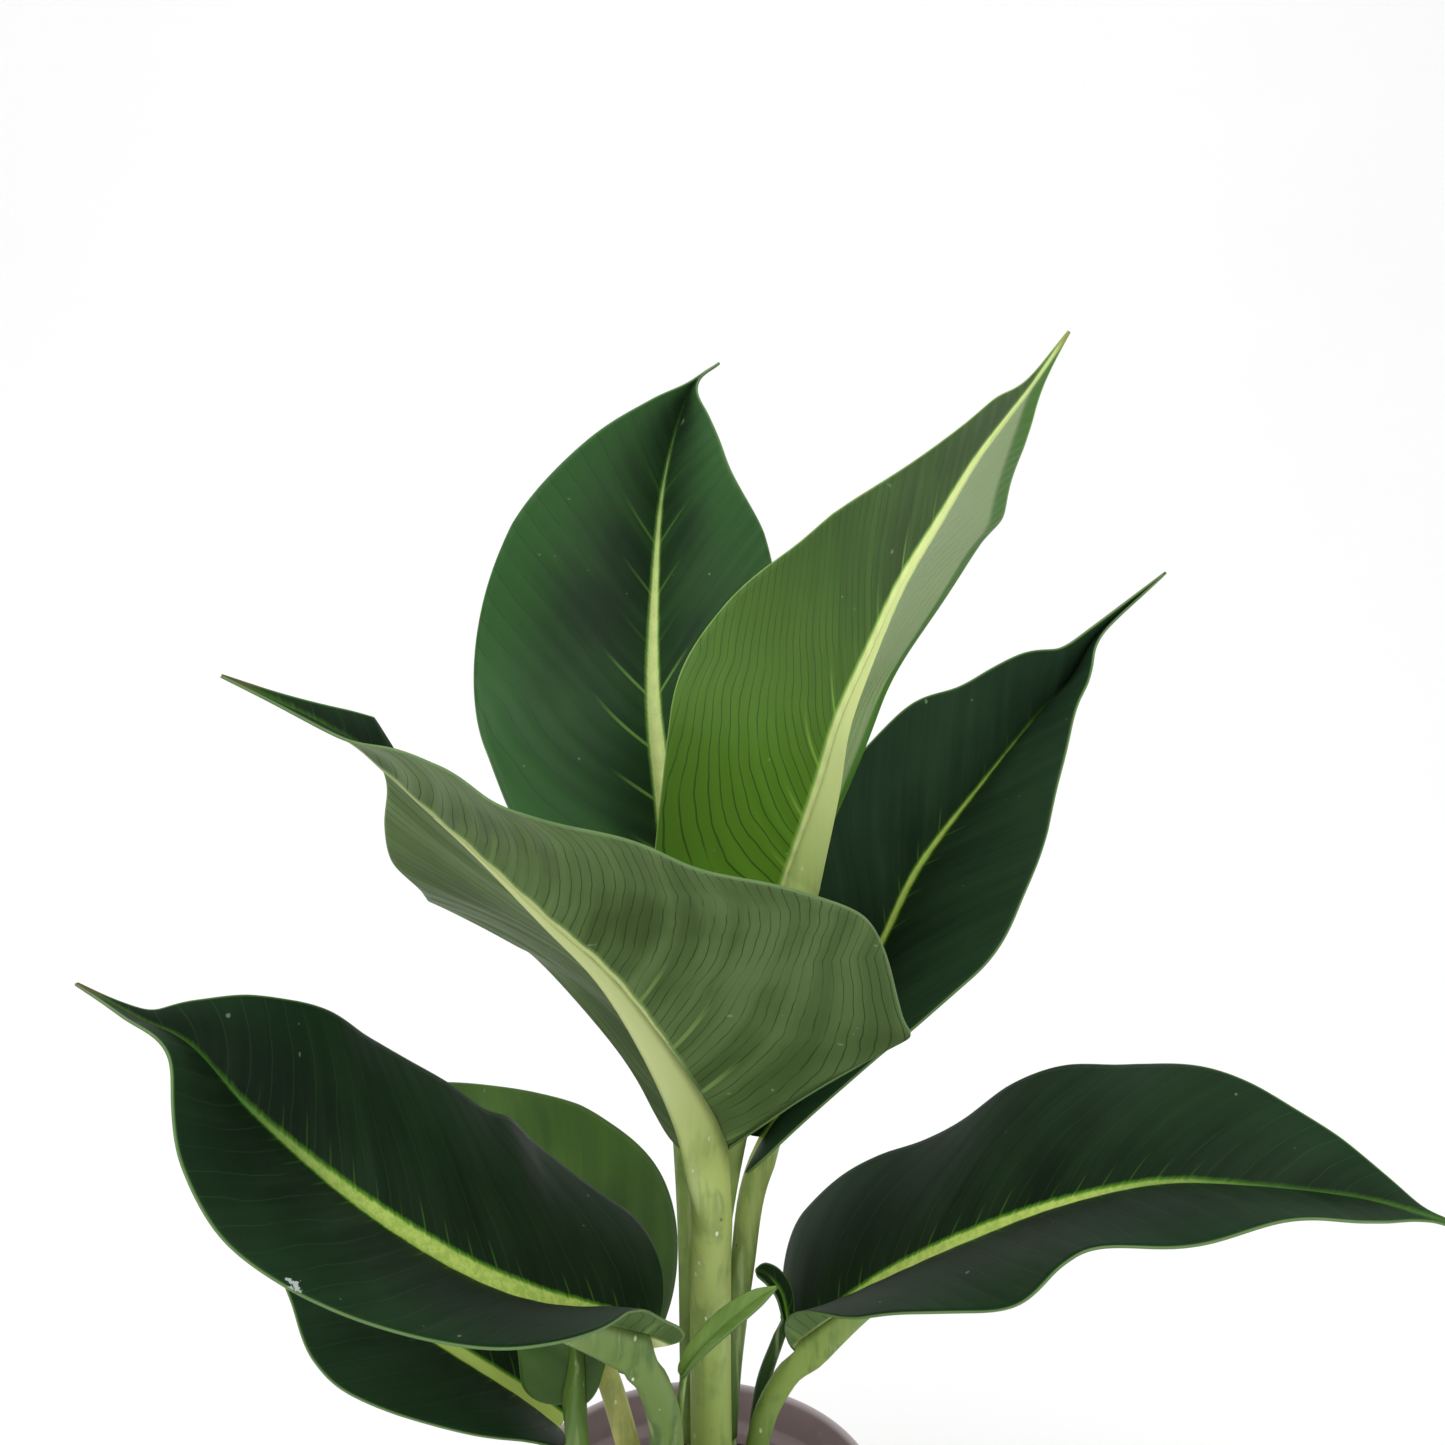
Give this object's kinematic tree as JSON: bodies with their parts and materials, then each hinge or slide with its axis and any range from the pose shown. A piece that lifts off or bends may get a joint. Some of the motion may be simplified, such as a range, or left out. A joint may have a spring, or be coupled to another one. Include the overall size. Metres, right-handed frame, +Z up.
{
  "type": "potted dieffenbachia",
  "caption": "Young dieffenbachia with broad pointed leaves on upright stalks, growing from soil in a plain round plastic nursery pot that stands on its flat bottom.",
  "frame": {"origin": "centre of the pot's flat bottom", "axes": "+Z up along the pot's axis; +X to the viewer's right in the picture; -Y towards the viewer"},
  "size_m": [0.3516, 0.188, 0.4719],
  "materials": {
    "pot_plastic": "satin mauve-brown moulded plastic",
    "peat": "dark crumbly potting soil",
    "dark_leaf": "very dark green leaf with faint side veins and a thin pale margin",
    "mid_leaf": "mid green leaf with a cream-yellow midrib",
    "young_leaf": "light green young leaf, half translucent",
    "stalk": "pale green stalk with small light specks"
  },
  "bodies": {
    "root": {"pot": "pot_plastic", "soil": "peat", "main_stem": "stalk", "stalk_back": "stalk", "blade_back": "mid_leaf", "stalk_top": "stalk", "blade_top": "young_leaf", "stalk_front": "stalk", "blade_front": "dark_leaf", "stalk_right_high": "stalk", "blade_right_high": "dark_leaf", "stalk_left_low": "stalk", "blade_left_low": "dark_leaf", "stalk_right_low": "stalk", "blade_right_low": "dark_leaf", "stalk_left_back": "stalk", "blade_left_back": "mid_leaf", "stalk_left_under": "stalk", "blade_left_under": "dark_leaf", "stalk_left_inner": "stalk", "blade_left_inner": "young_leaf", "stalk_behind_stem": "stalk", "blade_behind_stem": "dark_leaf", "stalk_shoot": "stalk", "blade_shoot": "young_leaf", "stalk_front_low": "stalk", "blade_front_low": "dark_leaf"}
  },
  "joints": []
}
